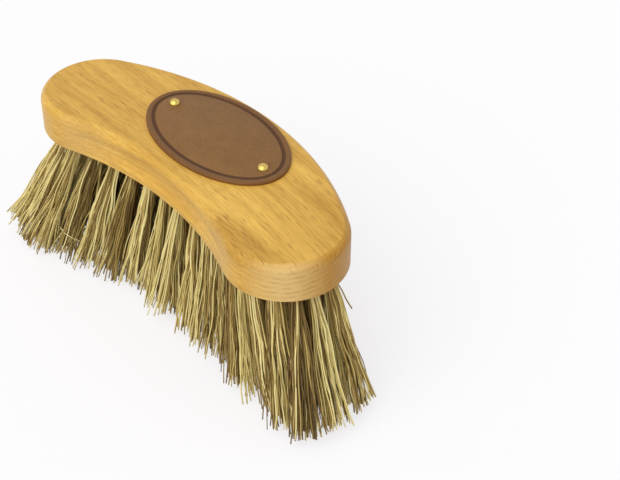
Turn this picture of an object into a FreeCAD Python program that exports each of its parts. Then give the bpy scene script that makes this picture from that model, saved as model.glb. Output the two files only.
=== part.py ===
import FreeCAD
import Part
import Sketcher

import math
import os

# Kidney-backed root-fibre brush. A drilled beech back carries five curved rows of
# folded fibre tufts, each held in its bore by a flat wire anchor, and an oval leather
# plaque on its top, held by two brass nails.
#
# Millimetres and degrees. +X runs along the back, +Y towards its convex side and +Z up.
# The origin is on the plane that the trimmed tips stand on, under the middle of the back.

SIZES = [
    ("block_length", 200, "back, over both rounded ends"),
    ("block_thickness", 20, "back, drilled face to top face"),
    ("middle_width", 65, "back, across its middle"),
    ("end_radius", 29, "rounded ends of the back, in plan"),
    ("bow", 16.5, "end centres behind the middle of the back"),
    ("top_round", 4.8, "rounding of the top edge"),
    ("top_sanded", 0.35, "sanded off the top after rounding, which leaves a crisp rim"),
    ("face_bevel", 0.8, "broken edge of the drilled face"),
    ("cove_radius", 8.5, "cutter of the finger coves"),
    ("cove_depth", 2.6, "finger coves, at the middle of each side"),
    ("cove_reach", 62, "half the length of the finger coves"),
    ("cove_height", 9.2, "middle of the coves above the drilled face"),
    ("tuft_rows", 5, "rows of tufts across the back"),
    ("tuft_pitch", 12.7, "tufts along the middle row"),
    ("side_margin", 12.5, "outer rows inside the sides of the back"),
    ("end_margin", 12, "least margin of a row's last tufts from the rounded ends"),
    ("bore_diameter", 6.5, "bores for the tufts"),
    ("bore_depth", 11, "bores, along their own axis"),
    ("stand_height", 68, "drilled face above the trimmed tips"),
    ("fibre_length", 70, "free length of the fibres before trimming"),
    ("end_flare", 27, "lean at the ends of the middle row"),
    ("side_flare", 10, "lean of the outer rows"),
    ("tuft_sides", 6, "flats that stand for the round of a bore and its tuft"),
    ("tuft_clearance", 0.05, "tuft in the mouth of its bore, radial"),
    ("tip_gap", 0.2, "between the tips of the closest tufts"),
    ("anchor_width", 2, "wire anchors, along the bore"),
    ("anchor_thickness", 0.4, "wire anchors"),
    ("anchor_clearance", 0.05, "wire anchors in their bore, at each end"),
    ("plaque_length", 88.5, "leather oval"),
    ("plaque_width", 53.5, "leather oval"),
    ("plaque_thickness", 1.6, "leather oval"),
    ("plaque_offset", 1.8, "plaque off the middle, to the convex side"),
    ("plaque_turn", 1, "plaque turned by hand off the back's length, clockwise from above"),
    ("plaque_bevel", 0.5, "rubbed upper edge of the leather"),
    ("nail_spacing", 68.5, "between the two nails"),
    ("nail_length", 7.5, "nails, under the head"),
    ("shank_diameter", 1.6, "nails"),
    ("head_diameter", 5.5, "domed heads of the nails"),
    ("head_height", 1.5, "domed heads of the nails"),
    ("nail_clearance", 0.05, "nails in the leather and the wood, radial"),
]

UP = FreeCAD.Vector(0, 0, 1)

# The points of a curve and the axes of a sketch, as the sketcher numbers them. The start of
# the X axis is the sketch's origin.
START, FINISH, CENTRE = range(1, 4)
X_AXIS, Y_AXIS = range(-1, -3, -1)
ORIGIN = X_AXIS

doc = FreeCAD.newDocument("brush")
sheet = doc.addObject("Spreadsheet::Sheet", "sizes")


def fill_sheet():
    """Write one driving dimension to a row: its name, its value and what it sets."""
    for row, (alias, number, note) in enumerate(SIZES, start=1):
        sheet.set(f"A{row}", alias)
        sheet.set(f"B{row}", str(number))
        sheet.set(f"C{row}", note)
        sheet.setAlias(f"B{row}", alias)
    doc.recompute()


def size(alias):
    return float(sheet.get(alias))


def bind(obj, **formulas):
    """Tie properties to the sheet; a dot in a property's path is written as two underscores."""
    for path, formula in formulas.items():
        obj.setExpression(path.replace("__", "."), formula)


# ---- plan of the back ---------------------------------------------------------------

HALF_SPAN = "(sizes.block_length / 2 - sizes.end_radius)"
CROWN = "(sizes.middle_width / 2 + sizes.bow)"
WAIST = "(sizes.middle_width / 2 - sizes.bow)"
CONVEX_RADIUS = (f"({HALF_SPAN}^2 + {CROWN}^2 - sizes.end_radius^2)"
                 f" / (2 * ({CROWN} - sizes.end_radius))")
CONCAVE_RADIUS = (f"({HALF_SPAN}^2 + {WAIST}^2 - sizes.end_radius^2)"
                  f" / (2 * (sizes.end_radius - {WAIST}))")


class Plan:
    """The back seen from above: two end arcs joined by a convex and a concave arc."""

    def __init__(self):
        self.half_width = size("middle_width") / 2
        self.end_radius = size("end_radius")
        self.end_x = size("block_length") / 2 - self.end_radius
        self.end_y = -size("bow")
        crown = self.half_width - self.end_y
        waist = self.half_width + self.end_y
        leftover = self.end_x**2 - self.end_radius**2
        self.convex_radius = (leftover + crown**2) / (2 * (crown - self.end_radius))
        self.concave_radius = (leftover + waist**2) / (2 * (self.end_radius - waist))
        self.convex_y = self.half_width - self.convex_radius
        self.concave_y = -self.half_width - self.concave_radius

    def side_y(self, radius, centre_y, x):
        return centre_y + math.sqrt(radius**2 - x**2)

    def arcs(self):
        """The four arcs, anticlockwise: right end, convex side, left end, concave side."""
        crown_angle = math.atan2(self.end_y - self.convex_y, self.end_x)
        waist_angle = math.atan2(self.end_y - self.concave_y, self.end_x)
        turn = math.pi
        return [
            arc(self.end_x, self.end_y, self.end_radius, waist_angle - turn, crown_angle),
            arc(0, self.convex_y, self.convex_radius, crown_angle, turn - crown_angle),
            arc(-self.end_x, self.end_y, self.end_radius, turn - crown_angle, 2 * turn - waist_angle),
            arc(0, self.concave_y, self.concave_radius, waist_angle, turn - waist_angle),
        ]


def arc(x, y, radius, start, finish):
    return Part.ArcOfCircle(Part.Circle(FreeCAD.Vector(x, y, 0), UP, radius), start, finish)


# ---- sketching ----------------------------------------------------------------------

def new_body(name):
    return doc.addObject("PartDesign::Body", name)


def plane_of(body, role):
    return next(item for item in body.Origin.OriginFeatures if item.Role == role)


def new_sketch(body, name, role="XY_Plane"):
    sketch = body.newObject("Sketcher::SketchObject", name)
    sketch.AttachmentSupport = [(plane_of(body, role), "")]
    sketch.MapMode = "FlatFace"
    return sketch


def constrain(sketch, *terms):
    return sketch.addConstraint(Sketcher.Constraint(*terms))


def dimension(sketch, formula, *terms):
    """Add a constraint that carries a length, and tie that length to the sheet."""
    index = constrain(sketch, *terms)
    sketch.setExpression(f"Constraints[{index}]", formula)


def add_circle(sketch, x, radius, x_formula, radius_formula):
    """A circle on the sketch's X axis, at a signed distance x from its origin."""
    circle = sketch.addGeometry(Part.Circle(FreeCAD.Vector(x, 0, 0), UP, radius))
    constrain(sketch, "PointOnObject", circle, CENTRE, X_AXIS)
    dimension(sketch, radius_formula, "Radius", circle, radius)
    ends = (ORIGIN, START, circle, CENTRE) if x > 0 else (circle, CENTRE, ORIGIN, START)
    dimension(sketch, x_formula, "DistanceX", *ends, abs(x))


def add_ellipse(sketch, length, width):
    """An ellipse round the sketch's origin, long along its X axis, from two sizes by name."""
    half_length = size(length) / 2
    half_width = size(width) / 2
    ellipse = sketch.addGeometry(Part.Ellipse(FreeCAD.Vector(), half_length, half_width))
    sketch.exposeInternalGeometry(ellipse)
    long_axis = ellipse + 1
    short_axis = ellipse + 2
    constrain(sketch, "Coincident", ellipse, CENTRE, ORIGIN, START)
    constrain(sketch, "Horizontal", long_axis)
    dimension(sketch, "sizes." + length, "Distance", long_axis, 2 * half_length)
    dimension(sketch, "sizes." + width, "Distance", short_axis, 2 * half_width)


def edges_at(shape, height):
    """Names of the edges that lie wholly at one height."""
    names = []
    for number, edge in enumerate(shape.Edges, start=1):
        box = edge.BoundBox
        if {round(box.ZMin - height, 3), round(box.ZMax - height, 3)} == {0}:
            names.append(f"Edge{number}")
    return names


def round_edges(body, base, name, height, alias):
    fillet = body.newObject("PartDesign::Fillet", name)
    fillet.Base = (base, edges_at(base.Shape, height))
    bind(fillet, Radius="sizes." + alias)
    doc.recompute()
    return fillet


def bevel_edges(body, base, name, height, alias):
    chamfer = body.newObject("PartDesign::Chamfer", name)
    chamfer.Base = (base, edges_at(base.Shape, height))
    bind(chamfer, Size="sizes." + alias)
    doc.recompute()
    return chamfer


# ---- the beech back -----------------------------------------------------------------

def outline_sketch(body, plan):
    sketch = new_sketch(body, "outline")
    right, convex, left, concave = [sketch.addGeometry(item) for item in plan.arcs()]
    constrain(sketch, "Tangent", right, FINISH, convex, START)
    constrain(sketch, "Tangent", convex, FINISH, left, START)
    constrain(sketch, "Tangent", left, FINISH, concave, FINISH)
    constrain(sketch, "Tangent", concave, START, right, START)
    constrain(sketch, "Equal", right, left)
    dimension(sketch, "sizes.end_radius", "Radius", right, plan.end_radius)
    dimension(sketch, HALF_SPAN, "DistanceX", ORIGIN, START, right, CENTRE, plan.end_x)
    dimension(sketch, HALF_SPAN, "DistanceX", left, CENTRE, ORIGIN, START, plan.end_x)
    dimension(sketch, "sizes.bow", "DistanceY", right, CENTRE, ORIGIN, START, size("bow"))
    dimension(sketch, "sizes.bow", "DistanceY", left, CENTRE, ORIGIN, START, size("bow"))
    dimension(sketch, CONVEX_RADIUS, "Radius", convex, plan.convex_radius)
    dimension(sketch, CONCAVE_RADIUS, "Radius", concave, plan.concave_radius)
    return sketch


def cut_cove(body, name, floor_y, wall_y, cutter_side):
    """Mill a finger cove along one side, fading out where it meets that side's wall.

    floor_y is the cove's floor at the middle of the side, and wall_y the wall at the end
    of the cove. The floor's arc runs through both, so it is swept about its own centre.
    cutter_side is 1 where the cutter lies on the +Y side of the floor, and -1 otherwise.
    """
    fall = floor_y - wall_y
    reach = size("cove_reach")
    sweep_radius = (reach**2 + fall**2) / (2 * fall)
    axis_y = floor_y - sweep_radius
    cutter = size("cove_radius")
    sketch = new_sketch(body, name + "_profile", "YZ_Plane")
    centre = FreeCAD.Vector(floor_y + cutter_side * cutter, size("cove_height"), 0)
    circle = sketch.addGeometry(Part.Circle(centre, UP, cutter))
    foot = FreeCAD.Vector(axis_y, 0, 0)
    axis = sketch.addGeometry(Part.LineSegment(foot, foot + FreeCAD.Vector(0, cutter, 0)), True)
    constrain(sketch, "Vertical", axis)
    constrain(sketch, "PointOnObject", axis, START, X_AXIS)
    constrain(sketch, "DistanceX", axis, START, ORIGIN, START, -axis_y)
    constrain(sketch, "DistanceX", axis, START, circle, CENTRE, centre.x - axis_y)
    dimension(sketch, "sizes.cove_radius", "Radius", circle, cutter)
    dimension(sketch, "sizes.cove_height", "DistanceY", ORIGIN, START, circle, CENTRE, centre.y)
    dimension(sketch, "sizes.cove_radius", "DistanceY", axis, START, axis, FINISH, cutter)
    before = body.Tip.Shape.Volume
    groove = body.newObject("PartDesign::Groove", name)
    groove.Profile = sketch
    groove.ReferenceAxis = (sketch, ["Axis0"])
    groove.Angle = 360
    doc.recompute()
    assert groove.Shape.Volume < before, f"{name} cuts nothing"


def sand_top(body):
    """Sand the rounded top flat, down to the thickness of the back."""
    sketch = new_sketch(body, "sanded_area")
    circle = sketch.addGeometry(Part.Circle(FreeCAD.Vector(), UP, size("block_length")))
    constrain(sketch, "Coincident", circle, CENTRE, ORIGIN, START)
    dimension(sketch, "sizes.block_length", "Radius", circle, size("block_length"))
    bind(sketch, AttachmentOffset__Base__z="sizes.block_thickness")
    sanded = body.newObject("PartDesign::Pocket", "sanded_top")
    sanded.Profile = sketch
    sanded.Reversed = True
    bind(sanded, Length="sizes.top_sanded")
    doc.recompute()


def back_blank(plan):
    """The back before drilling: padded outline, rounded edges and two finger coves."""
    body = new_body("back_blank")
    pad = body.newObject("PartDesign::Pad", "plank")
    pad.Profile = outline_sketch(body, plan)
    bind(pad, Length="sizes.block_thickness + sizes.top_sanded")
    doc.recompute()
    rough_thickness = size("block_thickness") + size("top_sanded")
    top = round_edges(body, pad, "top_edge", rough_thickness, "top_round")
    bevel_edges(body, top, "face_edge", 0, "face_bevel")
    sand_top(body)
    reach = size("cove_reach")
    depth = size("cove_depth")
    convex_wall = plan.side_y(plan.convex_radius, plan.convex_y, reach)
    concave_wall = plan.side_y(plan.concave_radius, plan.concave_y, reach)
    cut_cove(body, "convex_cove", plan.half_width - depth, convex_wall, 1)
    cut_cove(body, "concave_cove", depth - plan.half_width, concave_wall, -1)
    bind(body, Placement__Base__z="sizes.stand_height")
    return body


# ---- the field of tufts -------------------------------------------------------------

class TuftField:
    """Where the bores start on the drilled face, and which way each of them points.

    The rows are arcs that change evenly from the concave side to the convex one. Tufts
    stand where they are crossed by the normals of the back's middle line, every second row
    half a pitch further on. They lean out along and across that line, in step with their
    distance from its middle.
    """

    def __init__(self, plan):
        self.plan = plan
        self.rows = int(size("tuft_rows"))
        rise = -plan.end_y
        self.line_radius = (plan.end_x**2 + rise**2) / (2 * rise)
        self.end_reach = plan.end_radius - size("end_margin")
        self.half_line = self.line_radius * math.asin(plan.end_x / self.line_radius) + self.end_reach
        self.half_field = plan.half_width - size("side_margin")

    def row_offset(self, row, angle):
        """Distance from the middle line to a row, along the normal at an angle."""
        share = row / (self.rows - 1)
        inner = self.plan.concave_radius + size("side_margin")
        outer = self.plan.convex_radius - size("side_margin")
        radius = inner + share * (outer - inner)
        crest = (2 * share - 1) * self.half_field
        shift = crest - radius + self.line_radius
        reach = shift * math.cos(angle) + math.sqrt(radius**2 - (shift * math.sin(angle))**2)
        return reach - self.line_radius

    def inside(self, x, y):
        """True where a tuft keeps its margin from the rounded ends."""
        past_end = abs(x) - self.plan.end_x
        return past_end <= 0 or math.hypot(past_end, y - self.plan.end_y) <= self.end_reach

    def inward(self, angle, offset):
        """Unit vector up the bore that starts at an offset along the normal at an angle."""
        share_along = angle * self.line_radius / self.half_line
        along = math.tan(math.radians(size("end_flare"))) * share_along
        across = math.tan(math.radians(size("side_flare"))) * offset / self.half_field
        lean_x = along * math.cos(angle) + across * math.sin(angle)
        lean_y = across * math.cos(angle) - along * math.sin(angle)
        return FreeCAD.Vector(-lean_x, -lean_y, 1).normalize()

    def row_places(self, row):
        """Placements at the mouths of a row's bores, with Z pointing up the bore."""
        step = size("tuft_pitch") / self.line_radius
        stagger = 0.5 * (row % 2)
        limit = math.ceil(self.half_line / size("tuft_pitch"))
        places = []
        for number in range(-limit, limit + 1):
            angle = (number + stagger) * step
            offset = self.row_offset(row, angle)
            reach = self.line_radius + offset
            x = reach * math.sin(angle)
            y = reach * math.cos(angle) - self.line_radius
            if self.inside(x, y):
                mouth = FreeCAD.Vector(x, y, size("stand_height"))
                lean = FreeCAD.Rotation(UP, self.inward(angle, offset))
                places.append(FreeCAD.Placement(mouth, lean))
        return places

    def closest_tips(self):
        """Distance between the two tips that come nearest to each other."""
        down = FreeCAD.Vector(0, 0, -size("fibre_length"))
        tips = [place.multVec(down) for row in range(self.rows) for place in self.row_places(row)]
        return min(a.distanceToPoint(b) for i, a in enumerate(tips) for b in tips[:i])


def drills(field):
    """One prism for each bore. It starts below the face, to clear the slanted mouth."""
    prisms = []
    start = FreeCAD.Placement(FreeCAD.Vector(0, 0, -size("bore_diameter")), FreeCAD.Rotation())
    for row in range(field.rows):
        for place in field.row_places(row):
            prism = doc.addObject("Part::Prism", "drill")
            bind(prism, Polygon="sizes.tuft_sides", Circumradius="sizes.bore_diameter / 2",
                 Height="sizes.bore_depth + sizes.bore_diameter")
            prism.Placement = place.multiply(start)
            prisms.append(prism)
    return prisms


def plaque_turn():
    return FreeCAD.Rotation(-UP, size("plaque_turn"))


def nail_places():
    """Where the undersides of the nail heads lie, on top of the leather."""
    top = size("stand_height") + size("block_thickness") + size("plaque_thickness")
    middle = FreeCAD.Vector(0, size("plaque_offset"), top)
    reach = plaque_turn().multVec(FreeCAD.Vector(size("nail_spacing") / 2, 0, 0))
    return [middle - reach, middle + reach]


def nail_drills():
    cylinders = []
    for place in nail_places():
        cylinder = doc.addObject("Part::Cylinder", "nail_drill")
        bind(cylinder, Radius="sizes.shank_diameter / 2 + sizes.nail_clearance",
             Height="sizes.nail_length + sizes.nail_clearance")
        cylinder.Placement.Base = place - UP * (size("nail_length") + size("nail_clearance"))
        cylinders.append(cylinder)
    return cylinders


def beech_block(plan, field):
    tool = doc.addObject("Part::Compound", "drilling")
    tool.Links = drills(field) + nail_drills()
    block = doc.addObject("Part::Cut", "beech_block")
    block.Base = back_blank(plan)
    block.Tool = tool
    return block


# ---- tufts and anchors --------------------------------------------------------------

def corners_of(radius, height):
    """Corners of a flat-sided tuft at one height, in its bore's own axes."""
    sides = int(size("tuft_sides"))
    turns = [2 * math.pi * number / sides for number in range(sides)]
    return [FreeCAD.Vector(radius * math.cos(turn), radius * math.sin(turn), height) for turn in turns]


def flat_sided_taper(top_radius, top, foot_radius, foot):
    """A closed tapering solid between two heights, with a flat face for each side."""
    upper = corners_of(top_radius, top)
    lower = corners_of(foot_radius, foot)
    outlines = [upper, lower]
    for side in range(len(upper)):
        after = (side + 1) % len(upper)
        outlines.append([upper[side], upper[after], lower[after], lower[side]])
    faces = [Part.Face(Part.makePolygon(corners + corners[:1])) for corners in outlines]
    shell = Part.makeShell(faces)
    shell.sewShape()
    solid = Part.makeSolid(shell)
    if solid.Volume < 0:
        solid.reverse()
    return solid


def tuft_row(field, row, tip_radius):
    """The packed tufts of one row, spreading from their bores and trimmed to one plane."""
    mouth_radius = size("bore_diameter") / 2 - size("tuft_clearance")
    length = size("fibre_length")
    root = size("bore_depth") - size("anchor_width")
    root_radius = mouth_radius - (tip_radius - mouth_radius) * root / length
    bundle = flat_sided_taper(root_radius, root, tip_radius, -length)
    room = size("block_length") + 4 * length
    floor = Part.makeBox(room, room, length, FreeCAD.Vector(-room / 2, -room / 2, -length))
    tufts = []
    for place in field.row_places(row):
        tuft = bundle.copy()
        tuft.Placement = place
        tufts.append(tuft.cut(floor).Solids[0])
    feature = doc.addObject("Part::Feature", f"tuft_row_{row + 1}")
    feature.Shape = Part.makeCompound(tufts)
    feature.Placement = FreeCAD.Placement()
    return feature


def anchor_row(field, row):
    """The flat wire anchors of one row, on edge across the bottoms of their bores."""
    corner = FreeCAD.Vector(size("anchor_clearance") - size("bore_diameter") / 2,
                            -size("anchor_thickness") / 2,
                            size("bore_depth") - size("anchor_width"))
    seat = FreeCAD.Placement(corner, FreeCAD.Rotation())
    anchors = []
    for place in field.row_places(row):
        anchor = doc.addObject("Part::Box", "anchor")
        bind(anchor, Length="sizes.bore_diameter - 2 * sizes.anchor_clearance",
             Width="sizes.anchor_thickness", Height="sizes.anchor_width")
        anchor.Placement = place.multiply(seat)
        anchors.append(anchor)
    group = doc.addObject("Part::Compound", f"anchor_row_{row + 1}")
    group.Links = anchors
    return group


# ---- plaque and nails ---------------------------------------------------------------

def leather_plaque():
    """Oval of leather with a rubbed upper edge and two nail holes."""
    body = new_body("leather_plaque")
    oval = new_sketch(body, "oval")
    add_ellipse(oval, "plaque_length", "plaque_width")
    pad = body.newObject("PartDesign::Pad", "leather")
    pad.Profile = oval
    bind(pad, Length="sizes.plaque_thickness")
    doc.recompute()
    bevel_edges(body, pad, "rubbed_edge", size("plaque_thickness"), "plaque_bevel")

    holes = new_sketch(body, "nail_holes")
    bind(holes, AttachmentOffset__Base__z="sizes.plaque_thickness")
    half = size("nail_spacing") / 2
    radius = size("shank_diameter") / 2 + size("nail_clearance")
    for x in (-half, half):
        add_circle(holes, x, radius, "sizes.nail_spacing / 2",
                   "sizes.shank_diameter / 2 + sizes.nail_clearance")
    punched = body.newObject("PartDesign::Pocket", "punched_holes")
    punched.Profile = holes
    punched.Type = "ThroughAll"
    body.Placement.Rotation = plaque_turn()
    bind(body, Placement__Base__y="sizes.plaque_offset",
         Placement__Base__z="sizes.stand_height + sizes.block_thickness",
         Placement__Rotation__Angle="sizes.plaque_turn")
    return body


def brass_nail(name, place):
    """Domed nail, turned about its own axis, with its origin under the head."""
    body = new_body(name)
    profile = new_sketch(body, name + "_profile", "XZ_Plane")
    head = size("head_diameter") / 2
    dome = size("head_height")
    shank = size("shank_diameter") / 2
    length = size("nail_length")
    ball = (head**2 + dome**2) / (2 * dome)
    corners = [(0, dome), (0, -length), (shank, -length), (shank, 0), (head, 0)]
    points = [FreeCAD.Vector(x, z, 0) for x, z in corners]
    axis, foot, side, seat = [profile.addGeometry(Part.LineSegment(a, b))
                              for a, b in zip(points, points[1:])]
    start = math.asin(min(1, (ball - dome) / ball))
    top = profile.addGeometry(arc(0, dome - ball, ball, start, math.pi / 2))
    for first, second in ((axis, foot), (foot, side), (side, seat)):
        constrain(profile, "Coincident", first, FINISH, second, START)
    constrain(profile, "Coincident", seat, FINISH, top, START)
    constrain(profile, "Coincident", top, FINISH, axis, START)
    constrain(profile, "PointOnObject", top, CENTRE, Y_AXIS)
    constrain(profile, "PointOnObject", axis, START, Y_AXIS)
    constrain(profile, "PointOnObject", axis, FINISH, Y_AXIS)
    constrain(profile, "PointOnObject", seat, START, X_AXIS)
    constrain(profile, "Horizontal", foot)
    constrain(profile, "Horizontal", seat)
    constrain(profile, "Vertical", side)
    dimension(profile, "sizes.head_height", "DistanceY", ORIGIN, START, axis, START, dome)
    dimension(profile, "sizes.nail_length", "DistanceY", axis, FINISH, ORIGIN, START, length)
    dimension(profile, "sizes.shank_diameter / 2", "DistanceX", ORIGIN, START, seat, START, shank)
    dimension(profile, "sizes.head_diameter / 2", "DistanceX", ORIGIN, START, seat, FINISH, head)
    turned = body.newObject("PartDesign::Revolution", name + "_turned")
    turned.Profile = profile
    turned.ReferenceAxis = (profile, ["V_Axis"])
    turned.Angle = 360
    body.Placement.Base = place
    return body


def plaque_nails():
    group = doc.addObject("Part::Compound", "plaque_nails")
    group.Links = [brass_nail(f"nail_{number}", place)
                   for number, place in enumerate(nail_places(), start=1)]
    return group


# ---- build and write ----------------------------------------------------------------

def build():
    fill_sheet()
    plan = Plan()
    field = TuftField(plan)
    tip_radius = (field.closest_tips() - size("tip_gap")) / 2
    pieces = [beech_block(plan, field), leather_plaque(), plaque_nails()]
    for row in range(field.rows):
        pieces.append(tuft_row(field, row, tip_radius))
        pieces.append(anchor_row(field, row))
    doc.recompute()
    return pieces


def check():
    """Stop if any object of the document failed to build."""
    for obj in doc.Objects:
        faults = {"Invalid", "Error"} & set(obj.State)
        assert not faults, f"{obj.Name} is in state {obj.State}"


def write(pieces):
    os.makedirs("parts", exist_ok=True)
    for piece in pieces:
        shape = piece.Shape
        assert not shape.isNull() and shape.isValid(), f"{piece.Label} has a bad shape"
        shape.exportStep(os.path.join("parts", piece.Label + ".step"))
        print(f"{piece.Label}: {len(shape.Solids)} solids, {shape.Volume:.1f} mm3")


made = build()
check()
write(made)
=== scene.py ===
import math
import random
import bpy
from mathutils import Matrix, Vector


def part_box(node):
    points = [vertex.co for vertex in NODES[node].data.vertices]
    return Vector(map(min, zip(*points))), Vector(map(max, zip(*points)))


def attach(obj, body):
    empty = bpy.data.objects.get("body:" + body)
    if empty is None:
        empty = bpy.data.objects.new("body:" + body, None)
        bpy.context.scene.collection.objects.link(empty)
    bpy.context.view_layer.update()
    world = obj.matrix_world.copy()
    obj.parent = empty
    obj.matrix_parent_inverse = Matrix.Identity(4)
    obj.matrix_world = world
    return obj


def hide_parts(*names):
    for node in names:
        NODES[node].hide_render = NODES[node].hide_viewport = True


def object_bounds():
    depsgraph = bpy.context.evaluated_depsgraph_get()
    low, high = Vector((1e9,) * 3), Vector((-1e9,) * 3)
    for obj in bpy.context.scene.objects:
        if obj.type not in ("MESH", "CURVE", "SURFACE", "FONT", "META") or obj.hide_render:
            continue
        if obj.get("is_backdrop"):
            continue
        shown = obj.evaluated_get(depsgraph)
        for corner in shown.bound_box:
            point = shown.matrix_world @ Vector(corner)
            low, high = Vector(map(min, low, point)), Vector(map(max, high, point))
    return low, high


bl_info = {
    "name": "Fibre Brush Dressing",
    "version": (1, 0, 0),
    "blender": (4, 5, 0),
    "location": "3D View > Sidebar > Brush",
    "description": "Dresses the drilled beech back, its leather oval and its fibre tufts",
    "category": "Object",
}

import bmesh
import bpy
from bpy.props import FloatProperty, FloatVectorProperty, IntProperty, PointerProperty
from mathutils import Quaternion, Vector

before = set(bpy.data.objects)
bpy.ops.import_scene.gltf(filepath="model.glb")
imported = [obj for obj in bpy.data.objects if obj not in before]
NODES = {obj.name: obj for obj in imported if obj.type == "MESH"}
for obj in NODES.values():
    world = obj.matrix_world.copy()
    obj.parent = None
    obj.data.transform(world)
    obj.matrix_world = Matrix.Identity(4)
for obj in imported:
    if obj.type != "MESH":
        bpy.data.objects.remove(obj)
cad_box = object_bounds()

MM = 0.001
TUFT_ROWS = sorted(name for name in NODES if name.startswith("tuft_row"))
ANCHOR_ROWS = sorted(name for name in NODES if name.startswith("anchor_row"))
FACE_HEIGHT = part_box("beech_block")[0].z
PLAQUE_LOW, PLAQUE_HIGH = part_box("leather_plaque")
NAILS_LOW, NAILS_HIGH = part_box("plaque_nails")


def linear(hex_colour):
    """The linear colour for an sRGB hex value."""
    channels = [int(hex_colour[i:i + 2], 16) / 255 for i in (0, 2, 4)]
    return [c / 12.92 if c <= 0.04045 else ((c + 0.055) / 1.055) ** 2.4 for c in channels]


def colour(name, description, hex_colour):
    return FloatVectorProperty(name=name, description=description, subtype="COLOR",
                               size=3, min=0, max=1, default=linear(hex_colour))


def length(name, description, mm):
    return FloatProperty(name=name, description=description, default=mm * MM,
                         subtype="DISTANCE", unit="LENGTH", precision=5)


def lengths(name, description, *mm):
    """A length along each of the three axes."""
    return FloatVectorProperty(name=name, description=description, subtype="XYZ_LENGTH",
                               size=3, precision=5, default=[each * MM for each in mm])


def angle(name, description, degrees):
    return FloatProperty(name=name, description=description, subtype="ANGLE",
                         default=math.radians(degrees))


def factor(name, description, share):
    return FloatProperty(name=name, description=description, subtype="FACTOR",
                         default=share)


# ---- settings -----------------------------------------------------------------------

class BeechSettings(bpy.types.PropertyGroup):
    pale: colour("Early wood", "Paler bands of the oiled beech", "EEBF58")
    deep: colour("Late wood", "Deeper bands of the oiled beech", "B58324")
    ray: colour("Rays", "Ray flecks and ring lines", "87581E")
    # The ends are painted in two copies of their colour. The first is paler, as painted light
    # on the side that the key light falls on. The second is deeper, as painted shade on the
    # side turned from it.
    lit_end: colour("End grain", "Cut across the fibres, at the two ends", "E2BE7C")
    shaded_end: colour("Oiled end grain", "Where an end has drunk more oil", "B68024")
    band: lengths("Band", "Size of a slow band of tone", 66.667, 4.5455, 4.5455)
    thread: lengths("Thread", "Size of a fine streak", 14.2857, 0.625, 0.625)
    drift: lengths("Drift", "Size of the wood in which the grain wanders once", 83.333, 20, 20)
    wander: length("Wander", "How far the grain wanders", 4)
    ray_cell: lengths("Ray cell", "Room that one ray takes in the wood", 8.5, 0.5, 4)
    heart: lengths("Heart", "Where the heart of the tree ran", 0, -30, 200)
    ring_spacing: length("Ring spacing", "Distance between two growth rings", 2.7)
    grain_curve: FloatProperty(name="Grain curve", default=0.9,
                               description="How fast the grain turns away at one end")
    edge_angle: angle("Edge angle", "Edges sharper than this stay crisp", 21)


class LeatherSettings(bpy.types.PropertyGroup):
    size_x: length("Length", "Long way of the oval", 88.5)
    size_y: length("Width", "Short way of the oval", 53.5)
    turn: angle("Turn", "Turn of the oval and its nails on the back", -1)
    edge_round: length("Rubbed edge", "Rounding of the upper rim", 0.6)
    border_inset: length("Border inset", "Border line inside the rim", 2.6)
    border_width: length("Border width", "Width of the burnt border line", 1.9)
    border_depth: length("Border depth", "Depth of the burnt border line", 0.35)
    grain: length("Grain", "Size of one pebble of the leather's grain", 1.3)
    stain: length("Stain", "Size of a stain in the leather", 11.111)
    tan: colour("Tan", "Face of the oval", "865F34")
    burnt: colour("Burnt line", "Border line burnt into the face", "5A3B22")
    rim: colour("Rim", "Outer rim and its burnished cut edge", "7A5124")


class NailSettings(bpy.types.PropertyGroup):
    head: length("Head", "Diameter of a nail's head", 5.5)
    spacing: length("Spacing", "Between the two nails", 68.5)
    rim: length("Rim", "Height of the rim under the dome", 0.35)
    dome: length("Dome", "Height of a nail's head above the leather", 2.1)
    shank: length("Shank", "Diameter of a nail's shank", 1.6)
    wear: length("Wear", "Size of a wear mark on the plating", 1.1111)
    brass: colour("Brass", "Plated heads", "CDB160")


class FibreSettings(bpy.types.PropertyGroup):
    strands: IntProperty(name="Strands in a tuft", default=14, min=1,
                         description="Groups of fibres that cling together in one bore")
    per_strand: IntProperty(name="Fibres in a strand", default=7, min=1,
                            description="Fibres that cling together")
    thickness: length("Thickness", "Diameter of a fibre at its root", 0.78)
    fan: FloatProperty(name="Fan", default=1.2, description="Spread against the CAD tuft")
    clump: length("Clump lean", "How far a whole tuft leans off its bore", 1.2)
    strand_lean: length("Strand lean", "How far a strand strays from its place", 2.6)
    scatter: length("Scatter", "How far a fibre strays from its strand", 1.5)
    crinkle: length("Crinkle", "Height of a fibre's waves", 0.62)
    wave: length("Wave", "Length of a fibre's waves", 30)
    overlong: length("Overlong", "Most that a fibre stands out of the CAD tuft", 4)
    trim: length("Uneven trim", "Most that a tip ends above the others", 9)
    stray_share: factor("Stray share", "Fibres that bend out of their strand", 0.006)
    mix: factor("Uneven mix", "How far the share of pale strands differs by tuft", 0.17)
    tone_scatter: factor("Uneven tone", "How far a fibre's tone is off its strand's", 0.28)
    dark: colour("Dark root", "Darkest fibres", "695127")
    brown: colour("Brown", "Brown fibres", "A88B4C")
    straw: colour("Straw", "Mid straw fibres", "E2CE82")
    pale: colour("Pale straw", "Palest fibres", "F8EAA8")
    seed: IntProperty(name="Seed", default=11, description="Start of the random draws")


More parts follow.
